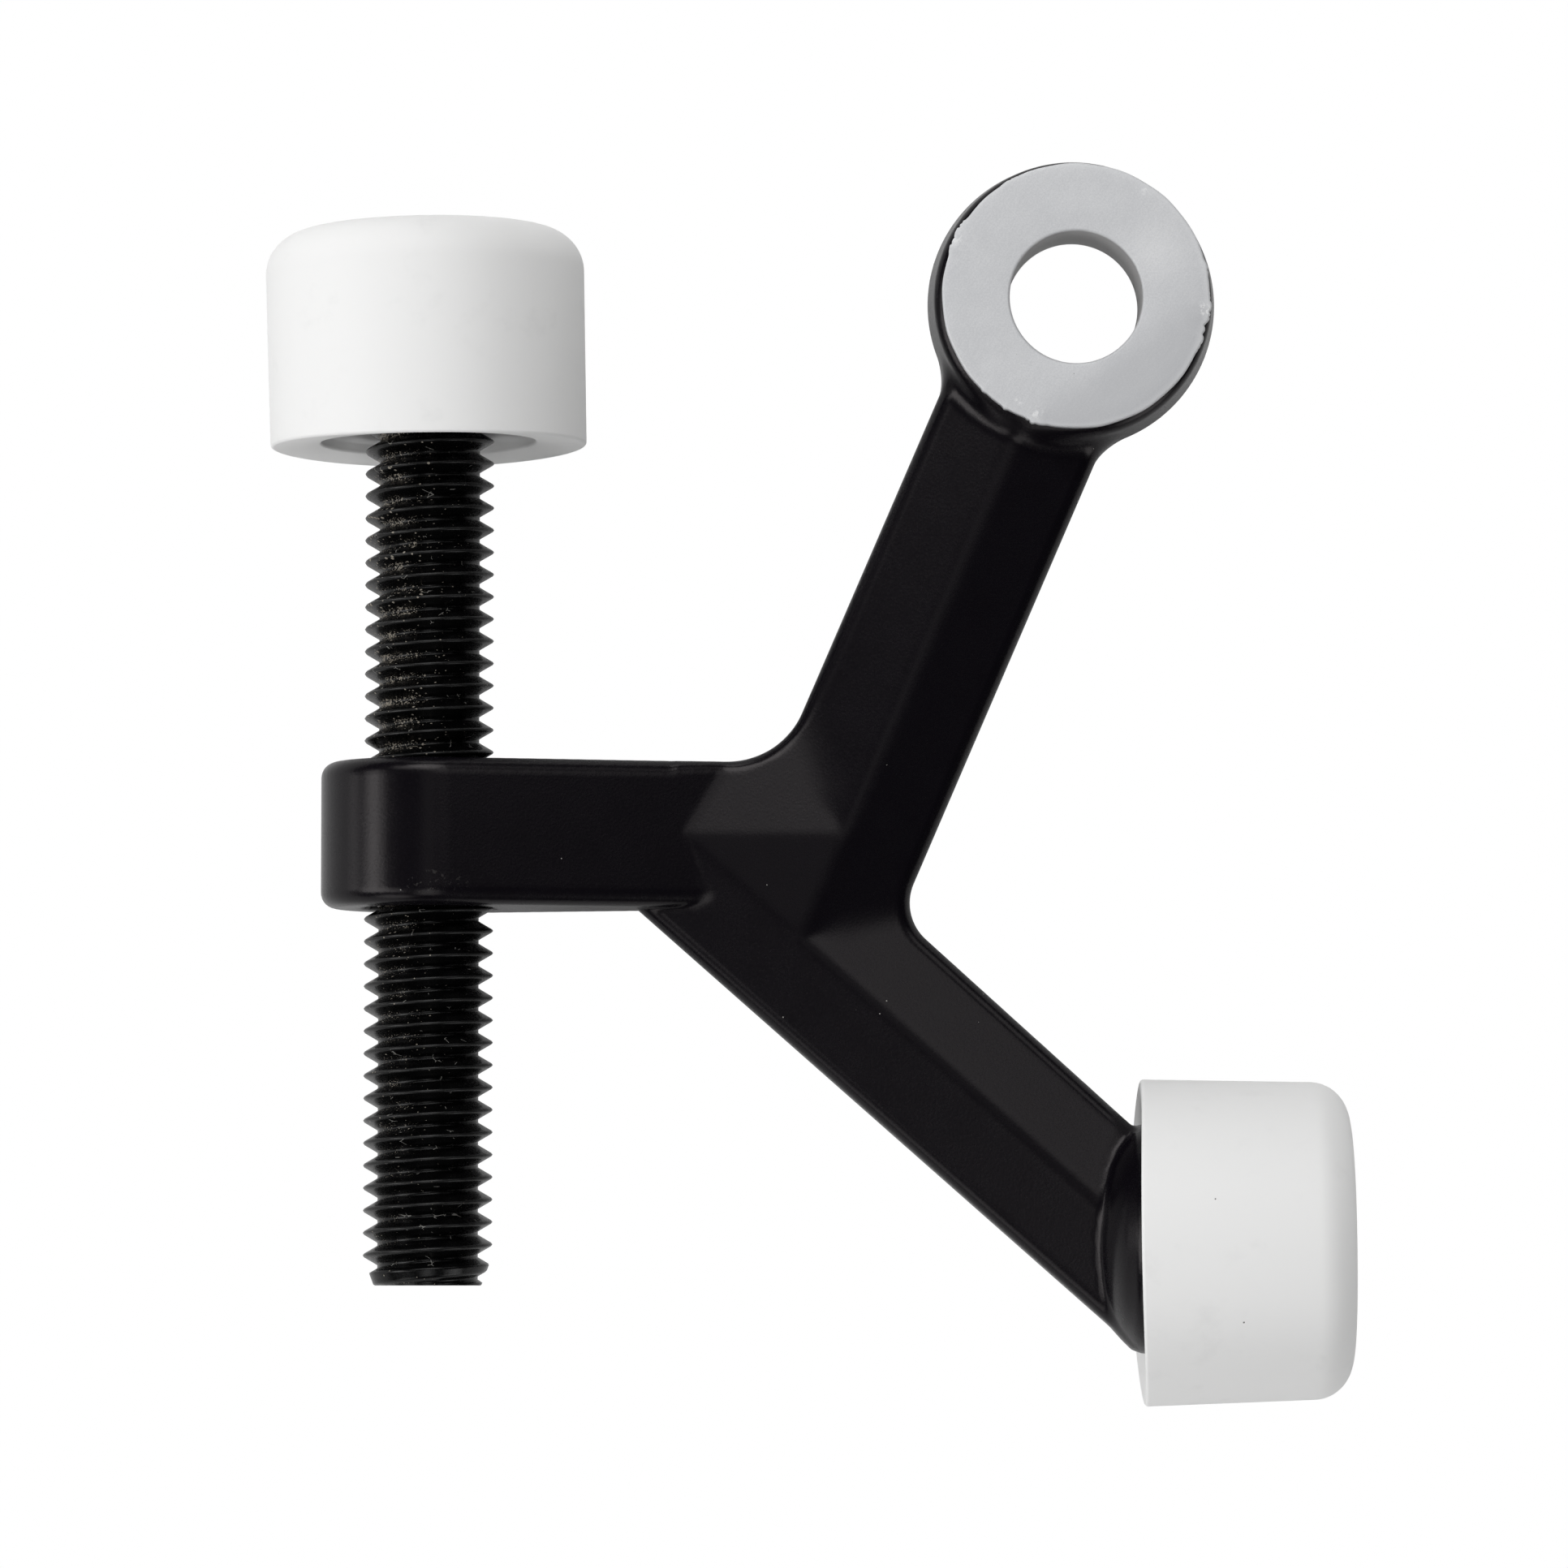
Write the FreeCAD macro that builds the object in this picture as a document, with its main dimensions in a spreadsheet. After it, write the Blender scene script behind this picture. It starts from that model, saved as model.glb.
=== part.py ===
import FreeCAD, Part
import math
import os
import Sketcher

# Hinge pin door stop, in millimetres.
# The hinge pin runs along Z through the origin. The arms lie in the XY plane and are
# mirrored front to back about it. The adjusting screw runs along Y, the foot along X.

doc = FreeCAD.newDocument("hinge_pin_door_stop")
sheet = doc.addObject("Spreadsheet::Sheet", "sizes")

DRIVING_SIZES = [
    # eye that hangs on the hinge pin, and its nylon bushing
    ("eye_radius", 8.8),
    ("eye_half_depth", 3.5),
    ("eye_edge_round", 0.7),
    ("sleeve_radius", 5.2),
    ("sleeve_wall", 1.1),
    ("sleeve_length", 5.3),
    ("flange_radius", 8.25),
    ("flange_thick", 0.8),
    ("flange_edge_round", 0.15),
    # arms: shallow roofs on both faces, with one ridge height for all three
    ("ridge_height", 2.9),
    ("arm_slope", 0.22),
    ("hub_slope", 0.15),
    ("upper_arm_angle", 23.15),
    ("upper_half_width", 5.15),
    ("lower_arm_angle", 41.6),
    ("lower_half_width", 5.08),
    ("inner_corner_round", 4.5),
    ("outer_corner_round", 3.0),
    # screw boss and the tapered arm that carries it
    ("boss_radius", 6.62),
    ("boss_half_height", 4.37),
    ("boss_drop", 33.1),
    ("boss_taper_angle", 14.0),
    ("boss_taper_sink", 0.81),
    ("boss_edge_round", 1.1),
    # adjusting screw
    ("screw_offset", 39.64),
    ("thread_radius", 3.97),
    ("thread_pitch", 1.375),
    ("thread_depth", 0.89),
    ("thread_crest_flat", 0.12),
    ("screw_reach", 60.6),
    ("screw_end_chamfer", 0.7),
    ("screw_neck", 1.6),
    ("head_radius", 7.5),
    ("head_thick", 5.0),
    ("bore_clearance", 0.08),
    # foot that carries the fixed tip
    ("foot_reach", 3.8),
    ("foot_drop", 57.74),
    ("foot_neck_radius", 7.03),
    ("foot_head_radius", 7.8),
    ("foot_cone_length", 1.9),
    ("foot_cone_radius", 3.0),
    ("foot_show", 0.3),
    # rubber tips
    ("tip_length", 13.2),
    ("tip_corner_round", 2.9),
    ("tip_rim_round", 0.35),
    ("tip_lip", 2.0),
    ("tip_end_wall", 4.0),
    ("screw_tip_rim_drop", 8.85),
    ("screw_tip_rim_radius", 9.62),
    ("screw_tip_end_radius", 9.82),
    ("screw_tip_mouth_radius", 6.6),
    ("screw_tip_lean", 1.35),
    ("screw_tip_play", 0.2),
    ("foot_tip_rim_radius", 10.02),
    ("foot_tip_end_radius", 9.66),
    ("foot_tip_lean", 0.7),
]

for row, (alias, size) in enumerate(DRIVING_SIZES, start=1):
    sheet.set("A%d" % row, alias)
    sheet.set("B%d" % row, str(size))
    sheet.setAlias("B%d" % row, alias)
doc.recompute()


# Formulas that several pieces share, written in terms of the sheet

def cell(alias):
    return "sizes." + alias


def number(formula):
    value = sheet.evalExpression(formula)
    return float(getattr(value, "Value", value))


def tangent(alias):
    return "tan(%s * 1 deg)" % cell(alias)


def sine(alias):
    return "sin(%s * 1 deg)" % cell(alias)


def cosine(alias):
    return "cos(%s * 1 deg)" % cell(alias)


arm_top = "(%s - %s)" % (cell("boss_half_height"), cell("boss_drop"))
arm_bottom = "(-%s - %s)" % (cell("boss_half_height"), cell("boss_drop"))
arm_middle = "(-%s)" % cell("boss_drop")
foot_middle = "(-%s)" % cell("foot_drop")
screw_x = "(-%s)" % cell("screw_offset")
foot_x = cell("foot_reach")
upper_slant = tangent("upper_arm_angle")
lower_slant = tangent("lower_arm_angle")
upper_shift = "(%s / %s)" % (cell("upper_half_width"), cosine("upper_arm_angle"))
lower_shift = "(%s / %s)" % (cell("lower_half_width"), cosine("lower_arm_angle"))


def upper_edge_x(side, height):
    """X of the upper arm's edge at a height; side is -1 left, 0 ridge, 1 right."""
    return "(%d * %s + %s * %s)" % (side, upper_shift, height, upper_slant)


def lower_edge_y(side, x):
    """Y of the lower arm's edge at an X; side is -1 lower, 0 ridge, 1 upper."""
    return "(%s + %d * %s + (%s - %s) * %s)" % (
        foot_middle, side, lower_shift, foot_x, x, lower_slant)


def lower_edge_x(side, height):
    """X of the lower arm's edge at a height."""
    return "(%s - (%s - %s - %d * %s) / %s)" % (
        foot_x, height, foot_middle, side, lower_shift, lower_slant)


def arms_crossing(upper_side, lower_side):
    """Where an edge of the upper arm crosses an edge of the lower arm."""
    start = "(%s + %d * %s + (%s - %d * %s) * %s)" % (
        foot_middle, lower_side, lower_shift, foot_x, upper_side, upper_shift, lower_slant)
    height = "(%s / (1 + %s * %s))" % (start, upper_slant, lower_slant)
    return upper_edge_x(upper_side, height), height


hub_left = (lower_edge_x(0, arm_middle), arm_middle)
hub_right = (upper_edge_x(0, arm_middle), arm_middle)
hub_low = arms_crossing(0, 0)


# Sketch and feature helpers

def origin_item(body, role):
    for item in body.Origin.OriginFeatures:
        if item.Role == role:
            return item
    raise ValueError(role)


def new_sketch(body, name, plane):
    sketch = body.newObject("Sketcher::SketchObject", name)
    sketch.AttachmentSupport = [(origin_item(body, plane), "")]
    sketch.MapMode = "FlatFace"
    return sketch


def point_ties(edge, end, x, y):
    """Constraints, each with its formula, that tie one end of a sketch edge to its place."""
    ties = []
    for kind, axis, formula in (("DistanceX", -2, x), ("DistanceY", -1, y)):
        if formula == "0":
            ties.append((Sketcher.Constraint("PointOnObject", edge, end, axis), None))
        else:
            tie = Sketcher.Constraint(kind, -1, 1, edge, end, number(formula))
            ties.append((tie, formula))
    return ties


def add_ties(sketch, ties):
    indices = sketch.addConstraint([tie for tie, formula in ties])
    for index, (tie, formula) in zip(indices, ties):
        if formula:
            sketch.setExpression("Constraints[%d]" % index, formula)


def joined(first, second):
    """The end of one edge meets the start of another."""
    return Sketcher.Constraint("Coincident", first, 2, second, 1), None


def polygon_sketch(body, name, plane, corners):
    sketch = new_sketch(body, name, plane)
    points = [FreeCAD.Vector(number(x), number(y), 0) for x, y in corners]
    count = len(points)
    sketch.addGeometry([
        Part.LineSegment(points[i], points[(i + 1) % count]) for i in range(count)])
    ties = [joined(i - 1 if i else count - 1, i) for i in range(count)]
    for i, (x, y) in enumerate(corners):
        ties += point_ties(i, 1, x, y)
    add_ties(sketch, ties)
    return sketch


def new_body(name):
    body = doc.addObject("PartDesign::Body", name)
    doc.recompute()
    return body


def pad_both_ways(body, sketch, name, length):
    pad = body.newObject("PartDesign::Pad", name)
    pad.Profile = sketch
    pad.SideType = "Symmetric"
    pad.setExpression("Length", length)
    doc.recompute()
    return pad


def revolved(body, sketch, name, axis="V_Axis"):
    turned = body.newObject("PartDesign::Revolution", name)
    turned.Profile = sketch
    turned.ReferenceAxis = (sketch, [axis])
    turned.Angle = 360
    sketch.Visibility = False
    doc.recompute()
    return turned


def edges_where(shape, test):
    """Names of the edges whose middle point passes the test."""
    names = []
    for i, edge in enumerate(shape.Edges, start=1):
        middle = edge.valueAt((edge.FirstParameter + edge.LastParameter) / 2)
        if test(edge, middle):
            names.append("Edge%d" % i)
    return names


def round_edges(body, base, name, radius, test):
    rounded = body.newObject("PartDesign::Fillet", name)
    rounded.Base = (base, edges_where(base.Shape, test))
    rounded.setExpression("Radius", cell(radius))
    doc.recompute()
    return rounded


def place(thing, x="0", y="0", z="0", axis=(0, 0, 1), angle="0"):
    thing.Placement = FreeCAD.Placement(
        FreeCAD.Vector(number(x), number(y), number(z)),
        FreeCAD.Rotation(FreeCAD.Vector(*axis), number(angle)))
    for item, formula in (("x", x), ("y", y), ("z", z)):
        thing.setExpression("Placement.Base." + item, formula)
    thing.setExpression("Placement.Rotation.Angle", "(%s) * 1 deg" % angle)


def near(a, b, slack=0.01):
    return abs(a - b) < slack


# Outline of the three arms, seen from the front

def arm_outline():
    body = new_body("arm_outline")
    inside_boss = "(%s + %s)" % (screw_x, cell("boss_radius"))
    foot_end = "(%s - %s)" % (foot_x, cell("foot_show"))
    corner_right = arms_crossing(1, 1)
    corners = [
        (inside_boss, arm_top),
        (upper_edge_x(-1, arm_top), arm_top),
        (upper_edge_x(-1, "0"), "0"),
        (upper_edge_x(1, "0"), "0"),
        corner_right,
        (foot_end, lower_edge_y(1, foot_end)),
        (foot_end, lower_edge_y(-1, foot_end)),
        (lower_edge_x(-1, arm_bottom), arm_bottom),
        (inside_boss, arm_bottom),
    ]
    sketch = polygon_sketch(body, "arm_outline_sketch", "XY_Plane", corners)
    pad = pad_both_ways(body, sketch, "arm_outline_pad", "2 * " + cell("ridge_height"))

    def upright_at(point):
        x, y = number(point[0]), number(point[1])
        return lambda edge, middle: near(middle.x, x) and near(middle.y, y)

    inner = round_edges(body, pad, "inner_corner", "inner_corner_round", upright_at(corners[1]))
    round_edges(body, inner, "outer_corner", "outer_corner_round", upright_at(corner_right))
    return body


# A roof with a ridge on both faces, as wide as its slope allows

def roof(name, slope, length, x, y, angle):
    body = new_body(name)
    reach = "(%s / %s)" % (cell("ridge_height"), cell(slope))
    height = cell("ridge_height")
    corners = [(reach, "0"), ("0", height), ("(-%s)" % reach, "0"), ("0", "(-%s)" % height)]
    sketch = polygon_sketch(body, name + "_sketch", "XZ_Plane", corners)
    pad_both_ways(body, sketch, name + "_pad", length)
    place(body, x, y, angle=angle)
    return body


def hub_plateau():
    body = new_body("hub_plateau")
    sketch = polygon_sketch(body, "hub_plateau_sketch", "XY_Plane", [hub_left, hub_low, hub_right])
    pad_both_ways(body, sketch, "hub_plateau_pad", "2 * " + cell("ridge_height"))
    return body


# Boss for the screw, with the arm that tapers from it until its end lies under the hub's ridges

def screw_boss():
    body = new_body("screw_boss")
    sketch = new_sketch(body, "screw_boss_sketch", "XZ_Plane")
    touch_x = "(%s + %s * %s)" % (screw_x, cell("boss_radius"), sine("boss_taper_angle"))
    touch_z = "(%s * %s)" % (cell("boss_radius"), cosine("boss_taper_angle"))
    end_z = "(%s - %s)" % (cell("ridge_height"), cell("boss_taper_sink"))
    end_x = "(%s + (%s - %s) / %s)" % (touch_x, touch_z, end_z, tangent("boss_taper_angle"))
    lean = math.radians(number(cell("boss_taper_angle")))
    circle = Part.Circle(
        FreeCAD.Vector(number(screw_x), 0, 0), FreeCAD.Vector(0, 0, 1),
        number(cell("boss_radius")))
    touch_front = FreeCAD.Vector(number(touch_x), number(touch_z), 0)
    touch_back = FreeCAD.Vector(number(touch_x), -number(touch_z), 0)
    end_front = FreeCAD.Vector(number(end_x), number(end_z), 0)
    end_back = FreeCAD.Vector(number(end_x), -number(end_z), 0)
    sketch.addGeometry(Part.ArcOfCircle(circle, math.pi / 2 - lean, 3 * math.pi / 2 + lean))
    sketch.addGeometry(Part.LineSegment(touch_back, end_back))
    sketch.addGeometry(Part.LineSegment(end_back, end_front))
    sketch.addGeometry(Part.LineSegment(end_front, touch_front))
    ties = [joined(0, 1), joined(1, 2), joined(2, 3), joined(3, 0)]
    ties += point_ties(0, 3, screw_x, "0")
    ties += point_ties(0, 1, touch_x, touch_z)
    ties += point_ties(1, 2, end_x, "(-%s)" % end_z)
    ties += point_ties(2, 2, end_x, end_z)
    ties.append((Sketcher.Constraint("DistanceX", -1, 1, 0, 2, number(touch_x)), touch_x))
    add_ties(sketch, ties)
    pad = pad_both_ways(body, sketch, "screw_boss_pad", "2 * " + cell("boss_half_height"))
    half = number(cell("boss_half_height"))
    end = number(end_x)

    def outer_edge(edge, middle):
        return near(abs(middle.y), half) and middle.x < end - 0.01

    round_edges(body, pad, "screw_boss_round", "boss_edge_round", outer_edge)
    place(body, y=arm_middle)
    return body


def eye_ring():
    body = new_body("eye_ring")
    radius, half = cell("eye_radius"), cell("eye_half_depth")
    corners = [("0", "(-%s)" % half), (radius, "(-%s)" % half), (radius, half), ("0", half)]
    sketch = polygon_sketch(body, "eye_ring_sketch", "XZ_Plane", corners)
    turned = revolved(body, sketch, "eye_ring_turned")
    rim = number(radius)
    round_edges(body, turned, "eye_ring_round", "eye_edge_round",
                lambda edge, middle: near(math.hypot(middle.x, middle.y), rim)
                and near(edge.BoundBox.ZLength, 0))
    return body


# Foot: a cone that grows out of the lower arm, a neck, and the head inside the tip

def foot_boss():
    body = new_body("foot_boss")
    neck_start = "(%s - %s)" % (foot_x, cell("foot_show"))
    cone_start = "(%s - %s)" % (neck_start, cell("foot_cone_length"))
    head_start = "(%s + %s)" % (foot_x, cell("tip_lip"))
    head_end = "(%s + %s - %s)" % (foot_x, cell("tip_length"), cell("tip_end_wall"))
    corners = [
        (cone_start, "0"),
        (cone_start, cell("foot_cone_radius")),
        (neck_start, cell("foot_neck_radius")),
        (head_start, cell("foot_neck_radius")),
        (head_start, cell("foot_head_radius")),
        (head_end, cell("foot_head_radius")),
        (head_end, "0"),
    ]
    sketch = polygon_sketch(body, "foot_boss_sketch", "XZ_Plane", corners)
    revolved(body, sketch, "foot_boss_turned", "H_Axis")
    place(body, y=foot_middle)
    return body


def combine(kind, name, pieces):
    made = doc.addObject(kind, name)
    made.Shapes = pieces
    made.Refine = True
    doc.recompute()
    return made


def cut(name, base, tool):
    made = doc.addObject("Part::Cut", name)
    made.Base = base
    made.Tool = tool
    made.Refine = True
    doc.recompute()
    return made


# Casting: the arms, boss, eye and foot in one piece, with its two bores

def casting():
    arm_span = "2 * (%s + %s)" % (cell("boss_drop"), cell("screw_offset"))
    roofs = combine("Part::MultiFuse", "arm_roofs", [
        roof("upper_roof", "arm_slope", arm_span, "0", "0", "-" + cell("upper_arm_angle")),
        roof("lower_roof", "arm_slope", arm_span, foot_x, foot_middle,
             "90 - " + cell("lower_arm_angle")),
        roof("hub_roof", "hub_slope", arm_span, hub_left[0], arm_middle, "90"),
        hub_plateau(),
    ])
    arms = combine("Part::MultiCommon", "arms", [arm_outline(), roofs])
    solid = combine("Part::MultiFuse", "solid_casting", [
        arms, screw_boss(), eye_ring(), foot_boss()])
    eye_bore = doc.addObject("Part::Cylinder", "eye_bore")
    eye_bore.setExpression("Radius", cell("sleeve_radius"))
    eye_bore.setExpression("Height", "2 * " + cell("eye_half_depth"))
    place(eye_bore, z="(-%s)" % cell("eye_half_depth"))
    screw_bore = doc.addObject("Part::Cylinder", "screw_bore")
    screw_bore.setExpression("Radius", "%s + %s" % (cell("thread_radius"), cell("bore_clearance")))
    screw_bore.setExpression("Height", "2 * " + cell("boss_half_height"))
    place(screw_bore, screw_x, arm_top, "0", (1, 0, 0), "90")
    bores = combine("Part::MultiFuse", "casting_bores", [eye_bore, screw_bore])
    return cut("casting", solid, bores)


# Nylon bushing, pressed into the eye from the front

def eye_bushing():
    body = new_body("eye_bushing")
    face = cell("eye_half_depth")
    front = "(%s + %s)" % (face, cell("flange_thick"))
    back = "(%s - %s)" % (face, cell("sleeve_length"))
    bore = "(%s - %s)" % (cell("sleeve_radius"), cell("sleeve_wall"))
    corners = [
        (bore, back),
        (cell("sleeve_radius"), back),
        (cell("sleeve_radius"), face),
        (cell("flange_radius"), face),
        (cell("flange_radius"), front),
        (bore, front),
    ]
    sketch = polygon_sketch(body, "eye_bushing_sketch", "XZ_Plane", corners)
    turned = revolved(body, sketch, "eye_bushing_turned")
    rim, top = number(cell("flange_radius")), number(front)
    round_edges(body, turned, "flange_edge", "flange_edge_round",
                lambda edge, middle: near(math.hypot(middle.x, middle.y), rim)
                and near(middle.z, top))
    return body


# Adjusting screw: its own axis is local Z, with the threaded end at the bottom

def adjusting_screw():
    body = new_body("adjusting_screw")
    head_low = "(%s + %s + %s - %s)" % (
        cell("screw_reach"), cell("tip_lip"), cell("screw_tip_play"), cell("screw_tip_rim_drop"))
    head_top = "(%s + %s)" % (head_low, cell("head_thick"))
    thread_end = "(%s - %s)" % (head_low, cell("screw_neck"))
    crest = cell("thread_radius")
    root = "(%s - %s)" % (crest, cell("thread_depth"))
    end_radius = "(%s - %s)" % (crest, cell("screw_end_chamfer"))
    length = number(thread_end) - number(cell("screw_end_chamfer"))
    turns = int(length / number(cell("thread_pitch")))
    corners = [("0", "0"), (end_radius, "0"), (crest, cell("screw_end_chamfer"))]
    for turn in range(turns):
        start = "(%s + %d * %s)" % (cell("screw_end_chamfer"), turn, cell("thread_pitch"))
        flat = "(%s + %s)" % (start, cell("thread_crest_flat"))
        valley = "(%s + (%s + %s) / 2)" % (start, cell("thread_pitch"), cell("thread_crest_flat"))
        corners += [(crest, flat), (root, valley), (crest, "(%s + %s)" % (start, cell("thread_pitch")))]
    corners += [
        (crest, thread_end),
        (crest, head_low),
        (cell("head_radius"), head_low),
        (cell("head_radius"), head_top),
        ("0", head_top),
    ]
    sketch = polygon_sketch(body, "adjusting_screw_sketch", "XZ_Plane", corners)
    revolved(body, sketch, "adjusting_screw_turned")
    place(body, screw_x, "(-%s)" % cell("screw_reach"), "0", (1, 0, 0), "-90")
    return body


# Rubber tips: local Z runs from the open rim to the closed end

def tip_form(name, rim_radius, end_radius):
    body = new_body(name)
    corners = [
        ("0", "0"),
        (cell(rim_radius), "0"),
        (cell(end_radius), cell("tip_length")),
        ("0", cell("tip_length")),
    ]
    sketch = polygon_sketch(body, name + "_sketch", "XZ_Plane", corners)
    turned = revolved(body, sketch, name + "_turned")
    length = number(cell("tip_length"))

    def ring_at(height):
        return lambda edge, middle: (near(edge.BoundBox.ZLength, 0) and near(middle.z, height)
                                     and math.hypot(middle.x, middle.y) > 1)

    closed = round_edges(body, turned, name + "_corner", "tip_corner_round", ring_at(length))
    round_edges(body, closed, name + "_rim", "tip_rim_round", ring_at(0))
    return body


def tip_hollow(name, mouth_radius, hollow_radius, hollow_end):
    """Mouth and hollow along local Z. They start outside the rim, whose plane leans."""
    body = new_body(name)
    outside = "(-%s)" % cell("tip_lip")
    corners = [
        ("0", outside),
        (mouth_radius, outside),
        (mouth_radius, cell("tip_lip")),
        (hollow_radius, cell("tip_lip")),
        (hollow_radius, hollow_end),
        ("0", hollow_end),
    ]
    sketch = polygon_sketch(body, name + "_sketch", "XZ_Plane", corners)
    revolved(body, sketch, name + "_turned")
    return body


def leaning_place(thing, x, y, turn, lean):
    """Local Z is turned into the XY plane: along X at 90 degrees and along Y at 0."""
    upright = FreeCAD.Rotation(FreeCAD.Vector(1, 0, 0), -90)
    swing = FreeCAD.Rotation(FreeCAD.Vector(0, 0, 1), number("%s + %s" % (lean, turn)))
    thing.Placement = FreeCAD.Placement(
        FreeCAD.Vector(number(x), number(y), 0), swing.multiply(upright))
    thing.setExpression("Placement.Base.x", x)
    thing.setExpression("Placement.Base.y", y)


def screw_tip():
    form = tip_form("screw_tip_form", "screw_tip_rim_radius", "screw_tip_end_radius")
    rim_y = "(-%s)" % cell("screw_tip_rim_drop")
    leaning_place(form, screw_x, rim_y, "0", cell("screw_tip_lean"))
    hollow_end = "(%s + %s + 2 * %s)" % (
        cell("tip_lip"), cell("head_thick"), cell("screw_tip_play"))
    hollow = tip_hollow(
        "screw_tip_hollow", cell("screw_tip_mouth_radius"),
        "(%s + %s)" % (cell("head_radius"), cell("screw_tip_play")), hollow_end)
    leaning_place(hollow, screw_x, rim_y, "0", "0")
    return cut("screw_tip", form, hollow)


def foot_tip():
    form = tip_form("foot_tip_form", "foot_tip_rim_radius", "foot_tip_end_radius")
    leaning_place(form, foot_x, foot_middle, "-90", cell("foot_tip_lean"))
    hollow_end = "(%s - %s)" % (cell("tip_length"), cell("tip_end_wall"))
    hollow = tip_hollow(
        "foot_tip_hollow", cell("foot_neck_radius"), cell("foot_head_radius"), hollow_end)
    leaning_place(hollow, foot_x, foot_middle, "-90", "0")
    return cut("foot_tip", form, hollow)


def check_document():
    doc.recompute()
    for thing in doc.Objects:
        if "Invalid" in thing.State or "Error" in thing.State:
            raise RuntimeError("%s: %s" % (thing.Name, thing.State))


pieces = [casting(), eye_bushing(), adjusting_screw(), screw_tip(), foot_tip()]
check_document()
os.makedirs("parts", exist_ok=True)
for piece in pieces:
    shape = piece.Shape
    if shape.isNull() or not shape.isValid() or len(shape.Solids) != 1:
        raise RuntimeError("%s is not one valid solid" % piece.Label)
    shape.exportStep("parts/%s.step" % piece.Label)
    print(piece.Label, "solids", len(shape.Solids), "volume %.1f mm3" % shape.Volume)
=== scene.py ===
import math

import bmesh
import bpy
import numpy as np
from mathutils import Matrix, Vector


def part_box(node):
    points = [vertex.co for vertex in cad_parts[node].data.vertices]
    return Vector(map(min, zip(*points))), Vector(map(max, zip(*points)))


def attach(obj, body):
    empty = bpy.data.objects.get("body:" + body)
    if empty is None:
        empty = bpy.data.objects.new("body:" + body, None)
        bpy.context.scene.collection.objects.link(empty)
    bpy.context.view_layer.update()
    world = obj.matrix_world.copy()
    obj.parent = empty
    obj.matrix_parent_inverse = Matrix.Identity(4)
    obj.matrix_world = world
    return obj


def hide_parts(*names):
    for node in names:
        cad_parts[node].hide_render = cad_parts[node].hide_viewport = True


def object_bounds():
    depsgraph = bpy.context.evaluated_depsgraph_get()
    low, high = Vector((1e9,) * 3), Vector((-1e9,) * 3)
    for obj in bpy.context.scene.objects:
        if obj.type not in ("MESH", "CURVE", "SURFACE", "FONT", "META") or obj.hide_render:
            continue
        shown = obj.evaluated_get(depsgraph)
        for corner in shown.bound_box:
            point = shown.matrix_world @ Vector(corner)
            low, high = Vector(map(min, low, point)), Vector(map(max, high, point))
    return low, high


# Hinge pin door stop. Lengths are in millimetres in the dictionaries and in metres in the meshes.

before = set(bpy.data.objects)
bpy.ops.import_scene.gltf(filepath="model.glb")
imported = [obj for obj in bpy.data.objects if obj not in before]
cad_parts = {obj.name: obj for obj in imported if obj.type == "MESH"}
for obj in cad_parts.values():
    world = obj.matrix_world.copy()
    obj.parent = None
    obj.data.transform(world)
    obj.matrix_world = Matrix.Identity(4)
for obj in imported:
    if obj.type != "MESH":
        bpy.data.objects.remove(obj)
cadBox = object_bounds()
mm = 0.001
print("frame loaded:", ", ".join(sorted(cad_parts)))


class Socket:                       # an expression on sockets adds its Math nodes
    def __init__(self, maker, port):
        self.maker = maker
        self.port = port

    def sum(self, kind, first, second=None):
        given = {0: first} if second is None else {0: first, 1: second}
        return self.maker.add(self.maker.mathType, {"operation": kind}, given)

    def __add__(self, other):
        return self.sum("ADD", self, other)

    def __radd__(self, other):
        return self.sum("ADD", other, self)

    def __sub__(self, other):
        return self.sum("SUBTRACT", self, other)

    def __rsub__(self, other):
        return self.sum("SUBTRACT", other, self)

    def __mul__(self, other):
        return self.sum("MULTIPLY", self, other)

    def __rmul__(self, other):
        return self.sum("MULTIPLY", other, self)

    def __truediv__(self, other):
        return self.sum("DIVIDE", self, other)

    def __mod__(self, other):
        return self.sum("FLOORED_MODULO", self, other)

    def __gt__(self, other):
        return self.sum("GREATER_THAN", self, other)

    def __lt__(self, other):
        return self.sum("LESS_THAN", self, other)

    def __abs__(self):
        return self.sum("ABSOLUTE", self)

    def least(self, other):
        return self.sum("MINIMUM", self, other)

    def most(self, other):
        return self.sum("MAXIMUM", self, other)

    def sine(self):
        return self.sum("SINE", self)

    def cosine(self):
        return self.sum("COSINE", self)

    def whole(self):
        return self.sum("FLOOR", self)

    def root(self):
        return self.sum("SQRT", self)


class Maker:
    mathType = "ShaderNodeMath"

    def __init__(self, tree):
        self.tree = tree

    def add(self, kind, settings=None, given=None, out=0):      # out may name several sockets
        node = self.tree.nodes.new(kind)
        for name, value in (settings or {}).items():
            setattr(node, name, value)
        for name, value in (given or {}).items():
            self.feed(node.inputs[name], value)
        if isinstance(out, tuple):
            return [Socket(self, node.outputs[name]) for name in out]
        return Socket(self, node.outputs[out])

    def feed(self, port, value):
        if isinstance(value, list):             # several links into one socket
            for part in value:
                self.feed(port, part)
        elif isinstance(value, Socket):
            self.tree.links.new(value.port, port)
        elif port.type == "RGBA" and len(value) == 3:
            port.default_value = (*value, 1)
        else:
            port.default_value = value

    def fade(self, value, low, high, start=0.0, end=1.0):       # smooth step between two levels
        return self.add("ShaderNodeMapRange", {"interpolation_type": "SMOOTHSTEP"}, {
            "Value": value, "From Min": low, "From Max": high, "To Min": start, "To Max": end})

    def mix(self, share, first, second):        # of two colours
        return self.add("ShaderNodeMix", {"data_type": "RGBA"}, {0: share, 6: first, 7: second}, 2)


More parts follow.
